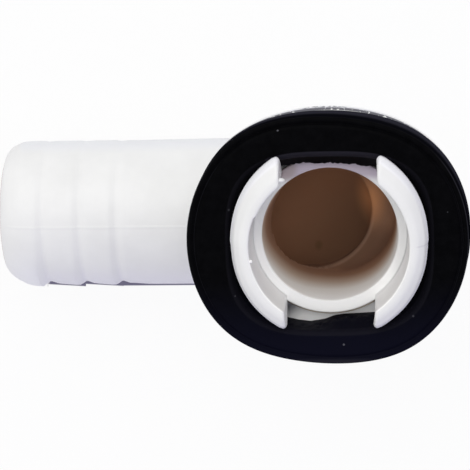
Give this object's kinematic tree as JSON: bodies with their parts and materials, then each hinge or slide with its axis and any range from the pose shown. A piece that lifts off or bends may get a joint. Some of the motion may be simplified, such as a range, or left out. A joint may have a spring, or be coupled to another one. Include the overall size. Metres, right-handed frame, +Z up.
{
  "type": "drain hose adapter",
  "caption": "Moulded elbow with a barbed hose tail, a flange, a split snap ring and a rubber seal ring, for draining a unit's base pan into a hose.",
  "frame": {"origin": "on the axis of the snap ring, in the plane of the flat base that closes the cup", "axes": "+Z up along the snap ring's axis towards the hooks; the hose tail runs along -X; Y runs across the slots between the hook arms"},
  "size_m": [0.0629, 0.0328, 0.033],
  "materials": {
    "white_plastic": "smooth moulded white plastic with a soft gloss",
    "black_rubber": "soft black rubber, slightly shiny, with a little dust"
  },
  "bodies": {
    "root": {"elbow_body": "white_plastic", "rubber_seal": "black_rubber"}
  },
  "joints": []
}
